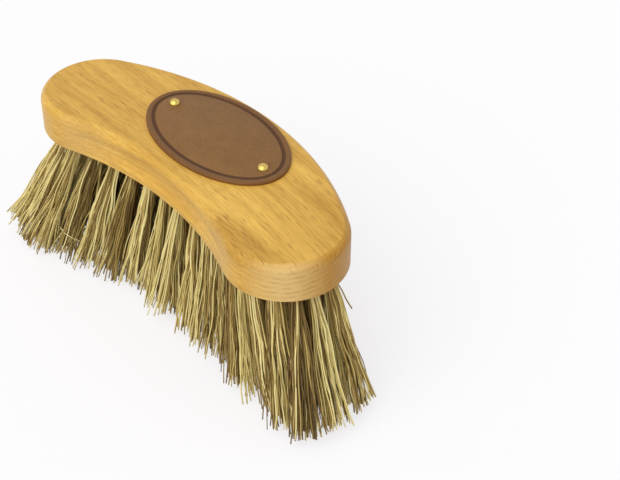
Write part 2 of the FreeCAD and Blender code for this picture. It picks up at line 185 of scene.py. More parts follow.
class StageSettings(bpy.types.PropertyGroup):
    floor: colour("Floor", "Plain studio floor", "FEFDFE")
    floor_reach: length("Floor reach", "From the brush to the floor's edges", 30000)
    floor_glow: factor("Floor glow", "How far the floor is white whatever its light", 0.7)
    bounce: colour("Bounce", "Colour that the floor throws back at the brush", "E4E2E0")
    sky: FloatProperty(name="Sky level", default=0.6, description="Even light all round")
    key: FloatProperty(name="Key level", default=1.66, description="Strength of the key light")
    key_width: angle("Key width", "How wide the key light stands in the sky", 75)
    key_turn: angle("Key turn", "Side that the key light comes from", -78)
    key_height: angle("Key height", "Height of the key light above the floor", 50)
    camera_place: lengths("Camera", "Where the camera stands", 446.57, -333.835, 483.707)
    camera_aim: lengths("Aim", "What the camera looks at", 5.705, 55.64, 0)
    camera_roll: angle("Roll", "Turn of the camera about its line of sight", 0.6216)
    camera_lens: FloatProperty(name="Lens", subtype="DISTANCE_CAMERA", default=83.9,
                               description="Focal length on a 36 mm sensor")


# ---- materials ----------------------------------------------------------------------

def new_material(name):
    """An empty node material with its Principled shader, which is returned with its tree."""
    material = bpy.data.materials.new(name)
    material.use_nodes = True
    tree = material.node_tree
    shader = next(node for node in tree.nodes if node.type == "BSDF_PRINCIPLED")
    return material, tree, shader


def add_node(tree, kind, inputs=None, stops=None, **settings):
    """Add a node. inputs holds a value or another node's output for each socket, and
    stops the places and colours of a ramp, with its two ends first."""
    node = tree.nodes.new("ShaderNode" + kind)
    for name, value in settings.items():
        setattr(node, name, value)
    for socket, value in (inputs or {}).items():
        if isinstance(value, bpy.types.NodeSocket):
            tree.links.new(value, node.inputs[socket])
        else:
            node.inputs[socket].default_value = value
    for number, (place, shade) in enumerate(stops or ()):
        points = node.color_ramp.elements
        point = points[number] if number < 2 else points.new(place)
        point.position = place
        point.color = (*shade, 1)
    return node


def streaks(tree, place, size, detail=2):
    """Soft blotches of a size along each axis."""
    place = add_node(tree, "Mapping", {"Vector": place, "Scale": [1 / way for way in size]})
    return add_node(tree, "TexNoise", {"Vector": place.outputs[0], "Scale": 1,
                                       "Detail": detail}).outputs


# Across the back, in mm: where the ends start to turn from their painted light to their
# painted shade, and where that painted shade is full.
PAINTED_END_SHADE = (-33, -16)

# Broad figure in the wood, in mm: the middle of a patch, half its size, and how much
# paler it is than the wood about it, or deeper where that is below 0. The first is a
# flame, which is full of rays.
FIGURE = (((66, -35, 87), (28, 9.5, 12), -0.28), ((40, -22, 87), (42, 14, 12), 0.2),
          ((84, 11, 87), (36, 12, 12), -0.2))


def grain_run(tree, place, look):
    """Two sets of coordinates: one that runs with the grain, which turns away at one end,
    and one that also wanders, as the rays and the rings do."""
    past_middle = add_node(tree, "Math", {0: place["X"], 1: 0}, operation="MAXIMUM")
    rise = add_node(tree, "Math", {0: past_middle.outputs[0], 1: 2}, operation="POWER")
    side = add_node(tree, "Math", {0: rise.outputs[0], 1: look.grain_curve, 2: place["Y"]},
                    operation="MULTIPLY_ADD")
    grain = add_node(tree, "CombineXYZ", {"X": place["X"], "Y": side.outputs[0],
                                          "Z": place["Z"]}).outputs[0]
    drift = streaks(tree, grain, look.drift)
    drift = add_node(tree, "VectorMath", {0: drift["Color"], 1: (0.5, 0.5, 0.5)},
                     operation="SUBTRACT")
    bent = add_node(tree, "VectorMath", {0: drift.outputs[0], 1: (0, look.wander, look.wander),
                                         2: grain}, operation="MULTIPLY_ADD").outputs[0]
    return grain, bent


def figure_patch(tree, grain, middle, half_size):
    """1 in a patch of figure, fading to 0 at its border."""
    patch = add_node(tree, "Mapping", {
        "Vector": grain, "Scale": [1 / MM / half for half in half_size],
        "Location": [-at / half for at, half in zip(middle, half_size)]})
    patch = add_node(tree, "VectorMath", {0: patch.outputs[0]}, operation="LENGTH")
    return add_node(tree, "MapRange", {
        "Value": patch.outputs["Value"], "From Min": 0.35, "From Max": 1.1,
        "To Min": 1, "To Max": 0}, interpolation_type="SMOOTHSTEP").outputs[0]


def ray_flecks(tree, bent, flame, across, facing, look):
    """How strongly a ray shows. Each cell of the wood holds one, faint or dark by chance.
    They crowd in the flame and round the ends, and hardly show on the walls."""
    cells = add_node(tree, "Mapping", {"Vector": bent,
                                       "Scale": [1 / way for way in look.ray_cell]})
    cells = add_node(tree, "TexVoronoi", {"Vector": cells.outputs[0], "Scale": 1})
    dash = add_node(tree, "MapRange", {
        "Value": cells.outputs["Distance"], "From Min": 0.12, "From Max": 0.4,
        "To Min": 1, "To Max": 0}, interpolation_type="SMOOTHSTEP")
    chance = add_node(tree, "SeparateColor", {0: cells.outputs["Color"]})
    chance = add_node(tree, "MapRange", {"Value": chance.outputs[0], "To Max": 0.75})
    for place, more in ((flame, 0.6), (across, 0.25)):
        chance = add_node(tree, "Math", {0: place, 1: more, 2: chance.outputs[0]},
                          operation="MULTIPLY_ADD")
    long_walls = add_node(tree, "MapRange", {"Value": facing["Y"], "From Min": 0.3,
                                             "From Max": 0.8, "To Min": 1, "To Max": 0.2})
    walls = add_node(tree, "MapRange", {"Value": facing["Z"], "From Max": 0.35,
                                        "To Min": 0.3})
    for share in (chance, long_walls, walls):
        dash = add_node(tree, "Math", {0: dash.outputs[0], 1: share.outputs[0]},
                        operation="MULTIPLY")
    return dash.outputs[0]


def ring_lines(tree, bent, bands, facing, look):
    """How strongly a growth ring shows: as a thin broken line on the ends, fainter on the
    long walls, and hardly on the top, which lies along the rings."""
    heart = add_node(tree, "Mapping", {"Vector": bent,
                                       "Location": [-way for way in look.heart]})
    # A wave texture of scale 1 has pi / 10 from ring to ring.
    rings = add_node(tree, "TexWave", {
        "Vector": heart.outputs[0], "Scale": math.pi / 10 / look.ring_spacing,
        "Distortion": 2.5, "Detail": 3, "Detail Scale": 1.2},
        wave_type="RINGS", rings_direction="X", wave_profile="SAW")
    lines = add_node(tree, "MapRange", {"Value": rings.outputs["Fac"], "From Min": 0.3,
                                        "To Max": 0.44})
    breaks = add_node(tree, "MapRange", {"Value": bands["Fac"], "From Min": 0.35,
                                         "From Max": 0.62})
    ends = add_node(tree, "MapRange", {"Value": facing["X"], "From Min": 0.2,
                                       "From Max": 0.8, "To Min": 0.55})
    walls = add_node(tree, "MapRange", {"Value": facing["Z"], "From Min": 0.3,
                                        "From Max": 0.95, "To Min": 1, "To Max": 0.15})
    for share in (breaks, ends, walls):
        lines = add_node(tree, "Math", {0: lines.outputs[0], 1: share.outputs[0]},
                         operation="MULTIPLY")
    return lines.outputs[0]


def sanded_beech(look):
    """Steamed beech, planed, sanded and oiled: a satin golden ground with faint streaks.
    Its rays are thin upright plates, which show as short fine dashes on the top. Its growth
    rings lie nearly flat and show as thin lines round the walls. The streaks, the rays and
    the rings are finer in real beech, and are drawn as coarse as they need to show."""
    material, tree, shader = new_material("sanded_oiled_beech")
    place = add_node(tree, "TexCoord").outputs["Object"]
    place = add_node(tree, "SeparateXYZ", {0: place}).outputs
    normal = add_node(tree, "NewGeometry").outputs["Normal"]
    facing = add_node(tree, "VectorMath", {0: normal}, operation="ABSOLUTE")
    facing = add_node(tree, "SeparateXYZ", {0: facing.outputs[0]}).outputs
    grain, bent = grain_run(tree, place, look)
    bands = streaks(tree, grain, look.band, detail=4)
    threads = streaks(tree, grain, look.thread)

    tone = add_node(tree, "Math", {0: threads["Fac"], 1: 0.85, 2: bands["Fac"]},
                    operation="MULTIPLY_ADD")
    patches = [figure_patch(tree, grain, middle, half_size)
               for middle, half_size, _ in FIGURE]
    for patch, (_, _, lift) in zip(patches, FIGURE):
        tone = add_node(tree, "Math", {0: patch, 1: lift, 2: tone.outputs[0]},
                        operation="MULTIPLY_ADD")
    tone = add_node(tree, "MapRange", {"Value": tone.outputs[0], "From Min": 0.5,
                                       "From Max": 1.3})
    wood = add_node(tree, "Mix", {0: tone.outputs[0], 6: (*look.deep, 1),
                                  7: (*look.pale, 1)}, data_type="RGBA")

    # Painted light and shade on the ends: paler towards -y, where the key light falls, and
    # deeper towards +y, which is turned from it.
    painted_end_shade = add_node(tree, "MapRange", {"Value": place["Y"], "From Min": PAINTED_END_SHADE[0] * MM,
                                        "From Max": PAINTED_END_SHADE[1] * MM})
    ends = add_node(tree, "Mix", {0: painted_end_shade.outputs[0], 6: (*look.lit_end, 1),
                                  7: (*look.shaded_end, 1)}, data_type="RGBA")
    across = add_node(tree, "MapRange", {"Value": facing["X"], "From Min": 0.15,
                                         "From Max": 0.7, "To Max": 0.85}).outputs[0]
    wood = add_node(tree, "Mix", {0: across, 6: wood.outputs[2], 7: ends.outputs[2]},
                    data_type="RGBA")

    rays = ray_flecks(tree, bent, patches[0], across, facing, look)
    for mark in (rays, ring_lines(tree, bent, bands, facing, look)):
        wood = add_node(tree, "Mix", {0: mark, 6: wood.outputs[2], 7: (*look.ray, 1)},
                        data_type="RGBA")
    grooves = add_node(tree, "Math", {0: rays, 1: -1, 2: threads["Fac"]},
                       operation="MULTIPLY_ADD")
    bump = add_node(tree, "Bump", {"Height": grooves.outputs[0], "Strength": 0.1,
                                   "Distance": 0.2 * MM})
    gloss = add_node(tree, "MapRange", {"Value": bands["Fac"], "To Min": 0.34,
                                        "To Max": 0.5})
    tree.links.new(wood.outputs[2], shader.inputs["Base Color"])
    tree.links.new(gloss.outputs[0], shader.inputs["Roughness"])
    tree.links.new(bump.outputs[0], shader.inputs["Normal"])
    shader.inputs["IOR"].default_value = 1.5
    shader.inputs["Specular IOR Level"].default_value = 0.35
    return material


def tanned_leather(name, shade, look, roughness):
    """Vegetable-tanned cowhide, cut and burnt by laser: a dull brown face with faint
    stains and a pebbled grain, which is drawn a little coarser than the real one."""
    material, tree, shader = new_material(name)
    place = add_node(tree, "TexCoord").outputs["Object"]
    stain = add_node(tree, "TexNoise", {"Vector": place, "Scale": 1 / look.stain,
                                        "Detail": 5})
    stain = add_node(tree, "MapRange", {"Value": stain.outputs["Fac"], "From Min": 0.3,
                                        "From Max": 0.7, "To Min": 0.9, "To Max": 1.08})
    pebbles = add_node(tree, "TexVoronoi", {"Vector": place, "Scale": 1 / look.grain},
                       feature="DISTANCE_TO_EDGE")
    creases = add_node(tree, "MapRange", {"Value": pebbles.outputs["Distance"],
                                          "From Max": 0.22, "To Min": 0.84, "To Max": 1.03})
    depth = add_node(tree, "Math", {0: stain.outputs[0], 1: creases.outputs[0]},
                     operation="MULTIPLY")
    skin = add_node(tree, "VectorMath", {0: shade[:], 3: depth.outputs[0]},
                    operation="SCALE")
    bump = add_node(tree, "Bump", {"Height": creases.outputs[0], "Strength": 0.35,
                                   "Distance": 0.25 * MM})
    tree.links.new(skin.outputs[0], shader.inputs["Base Color"])
    tree.links.new(bump.outputs[0], shader.inputs["Normal"])
    shader.inputs["Roughness"].default_value = roughness
    shader.inputs["Specular IOR Level"].default_value = 0.3
    return material


def plated_brass(look):
    """Stamped steel plated with brass: a bright pale gold dome with faint wear marks."""
    material, tree, shader = new_material("brass_plate")
    place = add_node(tree, "TexCoord").outputs["Object"]
    wear = add_node(tree, "TexNoise", {"Vector": place, "Scale": 1 / look.wear,
                                       "Detail": 4})
    dull = add_node(tree, "MapRange", {"Value": wear.outputs["Fac"],
                                       "To Min": 0.16, "To Max": 0.34})
    tree.links.new(dull.outputs[0], shader.inputs["Roughness"])
    shader.inputs["Base Color"].default_value = (*look.brass, 1)
    shader.inputs["Metallic"].default_value = 1
    return material


# A line that drawing has left in the wire, in mm: its length and its width. Real ones are
# finer.
DRAWN_LINE = (3.3333, 0.16667, 0.16667)


def drawn_wire():
    """Flattened steel wire: grey, with fine lines from drawing."""
    material, tree, shader = new_material("drawn_steel_wire")
    place = add_node(tree, "TexCoord").outputs["Object"]
    lines = streaks(tree, place, [way * MM for way in DRAWN_LINE])
    dull = add_node(tree, "MapRange", {"Value": lines["Fac"], "To Min": 0.28,
                                       "To Max": 0.45})
    tree.links.new(dull.outputs[0], shader.inputs["Roughness"])
    shader.inputs["Base Color"].default_value = (*linear("A9A7A2"), 1)
    shader.inputs["Metallic"].default_value = 1
    return material


# The name of the fibres' map.
STRIP_MAP = "OFBake"

# The size of a blotch, as a share of a row's map: about one fibre's strip across, and a
# sixth of a fibre's length.
BLOTCH = (1 / 1100, 1 / 6, 1)


def root_fibre(look):
    """Scoured root fibre, pale straw and dark brown mixed: dull and slightly waxy. Each
    fibre has its own strip of the map, in order from dark to pale, and runs up it."""
    material, tree, shader = new_material("mixed_root_fibre")
    strip = add_node(tree, "UVMap", uv_map=STRIP_MAP).outputs[0]
    split = add_node(tree, "SeparateXYZ", {0: strip})
    blotches = streaks(tree, strip, BLOTCH)
    tone = add_node(tree, "MapRange", {"Value": blotches["Fac"], "To Min": -0.13,
                                       "To Max": 0.13})
    tone = add_node(tree, "Math", {0: split.outputs["X"], 1: tone.outputs[0]},
                    operation="ADD")
    shade = add_node(tree, "ValToRGB", {"Fac": tone.outputs[0]}, [
        (0, look.dark), (1, look.pale), (0.27, look.brown), (0.56, look.straw)])
    tree.links.new(shade.outputs[0], shader.inputs["Base Color"])
    shader.inputs["Roughness"].default_value = 0.55
    shader.inputs["Specular IOR Level"].default_value = 0.3
    return material


# ---- making and registering pieces ---------------------------------------------------

# Vertices closer than this are one.
TOUCHING = 0.002 * MM

# Faces of the back that meet at less than this are one.
FLAT = math.radians(0.5)

# Edges of the leather and the nails that are sharper than this stay crisp.
CRISP = math.radians(40)


def finish_piece(bm, name, materials, slot, *nodes):
    """Turn a bmesh into a visible piece that stands for CAD nodes."""
    mesh = bpy.data.meshes.new(name)
    bm.to_mesh(mesh)
    bm.free()
    for material in materials:
        mesh.materials.append(material)
    mesh.shade_smooth()
    piece = bpy.data.objects.new(name, mesh)
    bpy.context.scene.collection.objects.link(piece)
    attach(piece, "root")
    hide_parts(*nodes)
    return piece


def merged_copy(node):
    """A bmesh of a CAD node with its loose triangles joined."""
    bm = bmesh.new()
    bm.from_mesh(NODES[node].data)
    bmesh.ops.remove_doubles(bm, verts=bm.verts, dist=TOUCHING)
    return bm


class BRUSH_OT_beech_back(bpy.types.Operator):
    """Dress the drilled beech back"""
    bl_idname = "brush.beech_back"
    bl_label = "Beech Back"

    def execute(self, context):
        look = context.scene.brush_beech
        bm = merged_copy("beech_block")
        bmesh.ops.dissolve_limit(bm, angle_limit=FLAT, verts=bm.verts, edges=bm.edges)
        piece = finish_piece(bm, "beech_back", [sanded_beech(look)], "beech", "beech_block")
        piece.data.set_sharp_from_angle(angle=look.edge_angle)
        weigh = piece.modifiers.new("even_shading", "WEIGHTED_NORMAL")
        weigh.keep_sharp = True
        return {"FINISHED"}


# Straight sides of the oval's outline, and steps over its rubbed edge.
OVAL_SIDES = 128
RUB_STEPS = 3

# The oval's finishes, in the order of its materials.
FACE, BURNT, RIM = range(3)


class BRUSH_OT_leather_oval(bpy.types.Operator):
    """Cut the leather oval and burn its border line"""
    bl_idname = "brush.leather_oval"
    bl_label = "Leather Oval"

    def execute(self, context):
        look = context.scene.brush_leather
        centre = (PLAQUE_LOW + PLAQUE_HIGH) / 2
        thickness = PLAQUE_HIGH.z - PLAQUE_LOW.z
        bm = bmesh.new()
        bmesh.ops.create_circle(bm, segments=OVAL_SIDES, radius=0.5, cap_ends=True)
        bmesh.ops.scale(bm, verts=bm.verts, vec=(look.size_x, look.size_y, 1))
        made = bmesh.ops.extrude_face_region(bm, geom=bm.faces[:])["geom"]
        top = [item for item in made if isinstance(item, bmesh.types.BMFace)]
        raised = [item for item in made if isinstance(item, bmesh.types.BMVert)]
        bmesh.ops.translate(bm, verts=raised, vec=(0, 0, thickness))
        bmesh.ops.recalc_face_normals(bm, faces=bm.faces)
        bmesh.ops.bevel(bm, geom=top[0].edges[:], offset=look.edge_round,
                        segments=RUB_STEPS, profile=0.5, affect="EDGES", material=-1)
        # The top is the higher one of the two large faces.
        top = max(bm.faces, key=lambda face: face.calc_center_median().z + face.calc_area())
        for face in bm.faces:
            face.material_index = RIM
        # Rings from the rim inwards: how wide, how far the leather inside it then rises, and
        # the ring's finish.
        rings = ((look.border_inset - look.edge_round, 0, RIM),
                 (0.25 * look.border_width, -look.border_depth, BURNT),
                 (0.5 * look.border_width, 0, BURNT),
                 (0.25 * look.border_width, look.border_depth, BURNT))
        for width, lift, finish in rings:
            made = bmesh.ops.inset_region(bm, faces=[top], thickness=width, depth=0,
                                          use_even_offset=True)
            for face in made["faces"]:
                face.material_index = finish
            bmesh.ops.translate(bm, verts=top.verts, vec=(0, 0, lift))
        top.material_index = FACE
        bmesh.ops.rotate(bm, verts=bm.verts, cent=(0, 0, 0),
                         matrix=Quaternion((0, 0, 1), look.turn).to_matrix())
        bmesh.ops.translate(bm, verts=bm.verts, vec=(centre.x, centre.y, PLAQUE_LOW.z))
        finishes = [tanned_leather("tanned_leather", look.tan, look, 0.62),
                    tanned_leather("burnt_leather", look.burnt, look, 0.8),
                    tanned_leather("burnished_leather", look.rim, look, 0.5)]
        piece = finish_piece(bm, "leather_oval", finishes, "leather", "leather_plaque")
        piece.data.set_sharp_from_angle(angle=CRISP)
        return {"FINISHED"}


# Straight steps from the crown of a nail's dome to its rim, and sides of a nail.
DOME_STEPS = 6
NAIL_SIDES = 32


class BRUSH_OT_brass_nails(bpy.types.Operator):
    """Turn the two domed nails"""
    bl_idname = "brush.brass_nails"
    bl_label = "Brass Nails"

    def execute(self, context):
        look = context.scene.brush_nails
        seat = PLAQUE_HIGH.z
        crown = look.dome - look.rim
        ball = ((look.head / 2) ** 2 + crown ** 2) / (2 * crown)
        half_turn = math.asin(look.head / 2 / ball)
        bm = bmesh.new()
        slopes = [half_turn * step / DOME_STEPS for step in range(DOME_STEPS + 1)]
        profile = [Vector((ball * math.sin(slope), 0,
                           look.dome - ball + ball * math.cos(slope))) for slope in slopes]
        foot = NAILS_LOW.z - seat
        profile += [Vector((look.head / 2, 0, 0)), Vector((look.shank / 2, 0, 0)),
                    Vector((look.shank / 2, 0, foot)), Vector((0, 0, foot))]
        points = [bm.verts.new(point) for point in profile]
        edges = [bm.edges.new(pair) for pair in zip(points, points[1:])]
        bmesh.ops.spin(bm, geom=points + edges, cent=(0, 0, 0), axis=(0, 0, 1),
                       angle=math.tau, steps=NAIL_SIDES, use_merge=True)
        bmesh.ops.remove_doubles(bm, verts=bm.verts, dist=TOUCHING)
        bmesh.ops.recalc_face_normals(bm, faces=bm.faces)
        centre = (NAILS_LOW + NAILS_HIGH) / 2
        turn = Quaternion((0, 0, 1), context.scene.brush_leather.turn)
        half_gap = turn @ Vector((look.spacing / 2, 0, 0))
        second = bmesh.ops.duplicate(bm, geom=bm.verts[:] + bm.edges[:] + bm.faces[:])
        moved = [item for item in second["geom"] if isinstance(item, bmesh.types.BMVert)]
        bmesh.ops.translate(bm, verts=moved, vec=2 * half_gap)
        bmesh.ops.translate(bm, verts=bm.verts,
                            vec=Vector((centre.x, centre.y, seat)) - half_gap)
        piece = finish_piece(bm, "brass_nails", [plated_brass(look)], "brass_nails",
                             "plaque_nails")
        piece.data.set_sharp_from_angle(angle=CRISP)
        return {"FINISHED"}


class BRUSH_OT_anchor_wire(bpy.types.Operator):
    """Give the hidden anchors their drawn wire"""
    bl_idname = "brush.anchor_wire"
    bl_label = "Anchor Wire"

    def execute(self, context):
        wire = drawn_wire()
        for name in ANCHOR_ROWS:
            NODES[name].data.materials.clear()
            NODES[name].data.materials.append(wire)
        return {"FINISHED"}


# ---- fibre tufts ----------------------------------------------------------------------

# The flats round a fibre, the stretches that it bends in, how much thinner its tip is, and
# how much of it stands hidden in its bore.
SIDES = 4
RINGS = 12
TAPER = 0.18
HIDDEN_ROOT = 2.5 * MM

# As a share of a fibre's strip of the map: the room left free at each side, so that one
# fibre's colour doesn't run into the next one's.
STRIP_EDGE = 0.1

# How far a bore is filled, how far out its strands stand in that, and how wide a strand is,
# each as a share of the radius.
FILLED = 0.9
STRAND_ROOM = 0.8
STRAND_RADIUS = 0.3

# The least and the most of what is left to chance: the heights and the lengths of the waves
# that a strand's fibres share, and of a fibre's own, against the usual ones; how late a
# strand bends; and how thick a fibre is against the usual one.
SHARED_WAVES = ((0.4, 1.2), (1, 2))
OWN_WAVES = ((0, 0.9), (0.5, 1.2))
BEND_POWER = (0.95, 1.35)
GIRTH = (0.75, 1.15)

# How many times further a stray fibre leans than its neighbours, and what is left of the
# lean at each try to bring a tip back into the tufts' room.
STRAY_REACH = 2.2
DRAWN_BACK = 0.9

# Tones of pale and of dark strands, from 0 for the darkest fibre to 1 for the palest.
PALE_TONES = (0.55, 0.95)
DARK_TONES = (0.05, 0.45)

# How use has set the tips, in mm: the place of a bore along the back, then how far its
# tips have moved along and across it, in the concave side's row and in the convex side's.
WORN_SET = ((-82, 12, -11, 14, -14), (-60, 4, -3, 6, -5), (-40, 5, -2, 2, 0),
            (-28, 4, -1, 0, 0), (-16, 3, -3, 0, 0), (-3, 4, -5, 0, 0), (10, 4, -5, 0, 0),
            (25, 2, -2, 0, 0), (45, 3, 3, 0, 0), (58, 0, 13.5, 0, 0), (68, 1.5, 19.5, 0, 0),
            (80, 4.5, 5.5, -1, -3.5))

# How the fibres were mixed: the place of a bore along the back, in mm, and the share of
# its strands that are pale.
PALE_SET = ((-82, 0.9), (-66, 1), (-55, 0.62), (-35, 0.62), (-18, 0.85), (45, 0.92),
            (62, 0.72), (80, 0.7))

# A loose fibre caught across the tips, in mm: its two ends, and how far it sags.
LOOSE_ENDS = ((-62.8, -52.6, 23.5), (-42.3, -50.7, 24.8))
LOOSE_SAG = (5.3, -5, 5)

# The most that a tip stands out of the CAD tufts, as a share of the brush's sides.
PROUD_SHARE = 0.025


class Tuft:
    """Where one tuft leaves the back, its way down, and how it spreads."""

    def __init__(self, island):
        root = [vert.co for vert in island if vert.co.z > FACE_HEIGHT]
        foot = [vert.co for vert in island if vert.co.z <= FACE_HEIGHT]
        centre = sum(root, Vector()) / len(root)
        spokes = [co - centre for co in root]
        normals = [spokes[0].cross(spoke) for spoke in spokes[1:]]
        self.down = max(normals, key=lambda normal: normal.length).normalized()
        if self.down.z > 0:
            self.down.negate()
        self.mouth = centre + self.down * (FACE_HEIGHT - centre.z) / self.down.z
        self.side = self.down.orthogonal().normalized()
        self.front = self.down.cross(self.side)
        root_radius = sum(spoke.length for spoke in spokes) / len(spokes)
        depth = (self.mouth - centre).length
        slopes = []
        reaches = []
        for co in foot:
            run = (co - centre).dot(self.down)
            reaches.append(run - depth)
            slopes.append(((co - centre - self.down * run).length - root_radius) / run)
        self.slope = max(slopes)
        self.radius = root_radius + self.slope * depth
        self.reach = max(reaches)

    def spoke(self, turn):
        """Straight out from the tuft's middle line, at a turn about it."""
        return self.side * math.cos(turn) + self.front * math.sin(turn)

    def stray(self, draw, spread):
        """A chance move off the tuft's middle line."""
        return self.side * draw.gauss(0, spread) + self.front * draw.gauss(0, spread)

    def waves(self, draw, look, heights, spans):
        """Chance waves to both sides: the axis, height, length and phase of each. heights
        and spans are the least and the most height and length, against the usual ones."""
        return [(axis, look.crinkle * draw.uniform(*heights),
                 look.wave * draw.uniform(*spans), draw.uniform(0, math.tau))
                for axis in (self.side, self.front)]


def islands_of(bm):
    """Vertices of each separate solid of a bmesh."""
    left = set(bm.verts)
    while left:
        island = set()
        found = [left.pop()]
        while found:
            vert = found.pop()
            island.add(vert)
            for edge in vert.link_edges:
                other = edge.other_vert(vert)
                if other in left:
                    left.remove(other)
                    found.append(other)
        yield sorted(island, key=lambda vert: vert.index)


def read_tufts(node):
    """The tufts of one row, in order along the back."""
    bm = merged_copy(node)
    bm.verts.index_update()
    tufts = [Tuft(island) for island in islands_of(bm)]
    bm.free()
    return sorted(tufts, key=lambda tuft: tuft.mouth.x)


def straight_fibre():
    """One closed fibre of unit radius and one unit between its rings."""
    bm = bmesh.new()
    bmesh.ops.create_circle(bm, segments=SIDES, radius=1, cap_ends=True)
    loop = bm.edges[:]
    for _ in range(RINGS):
        made = bmesh.ops.extrude_edge_only(bm, edges=loop)["geom"]
        ring = [item for item in made if isinstance(item, bmesh.types.BMVert)]
        bmesh.ops.translate(bm, verts=ring, vec=(0, 0, 1))
        loop = [item for item in made if isinstance(item, bmesh.types.BMEdge)
                and item.verts[0].co.z == item.verts[1].co.z]
    bmesh.ops.contextual_create(bm, geom=loop)
    bmesh.ops.recalc_face_normals(bm, faces=bm.faces)
    strip = bm.loops.layers.uv.new(STRIP_MAP)
    for face in bm.faces:
        for corner in face.loops:
            co = corner.vert.co
            turn = math.atan2(co.y, co.x) / math.tau + 0.5
            corner[strip].uv = (STRIP_EDGE + (1 - 2 * STRIP_EDGE) * turn, co.z / RINGS)
    mesh = bpy.data.meshes.new("fibre_blank")
    bm.to_mesh(mesh)
    bm.free()
    return mesh


class Strand:
    """A few fibres of one tuft that cling together, and how they lean."""

    def __init__(self, tuft, look, draw, lean, pale_share):
        around = draw.uniform(0, math.tau)
        self.tuft = tuft
        self.place = tuft.spoke(around) * math.sqrt(draw.random())
        self.lean = lean + tuft.stray(draw, look.strand_lean)
        self.waves = tuft.waves(draw, look, *SHARED_WAVES)
        self.power = draw.uniform(*BEND_POWER)
        self.trim = look.trim / 2 * draw.random()
        pale = draw.random() < pale_share
        self.tone = draw.uniform(*(PALE_TONES if pale else DARK_TONES))


class Fibre:
    """The line, the girth and the tone of one fibre."""

    def __init__(self, strand, look, draw):
        tuft = strand.tuft
        around = draw.uniform(0, math.tau)
        off = tuft.spoke(around) * STRAND_RADIUS * math.sqrt(draw.random())
        spoke = strand.place * STRAND_ROOM + off
        self.tuft = tuft
        self.root = tuft.mouth + spoke * FILLED * (tuft.radius - look.thickness / 2)
        self.root -= tuft.down * HIDDEN_ROOT
        trim = strand.trim + look.trim / 2 * draw.random() ** 2
        reach = tuft.reach + HIDDEN_ROOT + look.overlong - trim
        self.length = min(reach, (trim - self.root.z) / tuft.down.z)
        stray = draw.random() < look.stray_share
        scatter = look.scatter * (STRAY_REACH if stray else 1)
        self.bend = spoke * tuft.slope * self.length * look.fan + strand.lean
        self.bend += tuft.stray(draw, scatter)
        self.bend -= tuft.down * self.bend.dot(tuft.down)
        self.power = strand.power
        self.waves = strand.waves + tuft.waves(draw, look, *OWN_WAVES)
        self.girth = look.thickness / 2 * draw.uniform(*GIRTH)
        self.tone = strand.tone + draw.gauss(0, look.tone_scatter)
        self.turn = draw.uniform(0, math.tau)
        while not stands_in(self.point(1)):
            self.bend *= DRAWN_BACK

    def point(self, share):
        """Middle of the fibre at a share of its length."""
        run = self.length * share
        place = self.root + self.tuft.down * run + self.bend * share ** self.power
        for axis, height, wave, phase in self.waves:
            swing = math.sin(math.tau * run / wave + phase) - math.sin(phase)
            place += axis * height * swing * min(1, 2 * share)
        return place

    def shape(self, verts):
        """Bend the vertices of a straight fibre to this one's line."""
        middles = [self.point(ring / RINGS) for ring in range(RINGS + 1)]
        for vert in verts:
            ring = round(vert.co.z)
            girth = self.girth * (1 - TAPER * ring / RINGS)
            turn = math.atan2(vert.co.y, vert.co.x) + self.turn
            vert.co = middles[ring] + girth * self.tuft.spoke(turn)
            vert.co.z = max(0, vert.co.z)


class LooseFibre(Fibre):
    """A fibre that has come out of its tuft and lies across its neighbours. Its tone sorts
    it last in its row, which makes it the palest."""

    def __init__(self, tuft, look):
        self.tuft = tuft
        self.girth = look.thickness / 2
        self.tone = math.inf
        self.turn = 0

    def point(self, share):
        start, finish = [Vector(end) * MM for end in LOOSE_ENDS]
        return start.lerp(finish, share) + Vector(LOOSE_SAG) * MM * 4 * share * (1 - share)


def stands_in(tip):
    """True where a tip keeps within the room that the tufts have, seen from above."""
    low, high = [Vector(corner) for corner in cad_box]
    room = (high - low) * PROUD_SHARE
    return all(low[axis] - room[axis] <= tip[axis] <= high[axis] + room[axis]
               for axis in (0, 1))


def along(table, x):
    """The values that a table by place along the back gives at x."""
    x = min(max(x / MM, table[0][0]), table[-1][0])
    for (start, *before), (finish, *after) in zip(table, table[1:]):
        if x <= finish:
            share = (x - start) / (finish - start)
            return [low + share * (high - low) for low, high in zip(before, after)]


def worn_set(x, across):
    """How far use has set the tips of a bore at x. across is 0 in the concave side's row
    and 1 in the convex side's."""
    moves = along(WORN_SET, x)
    concave, convex = Vector((*moves[:2], 0)), Vector((*moves[2:], 0))
    return MM * concave.lerp(convex, across)


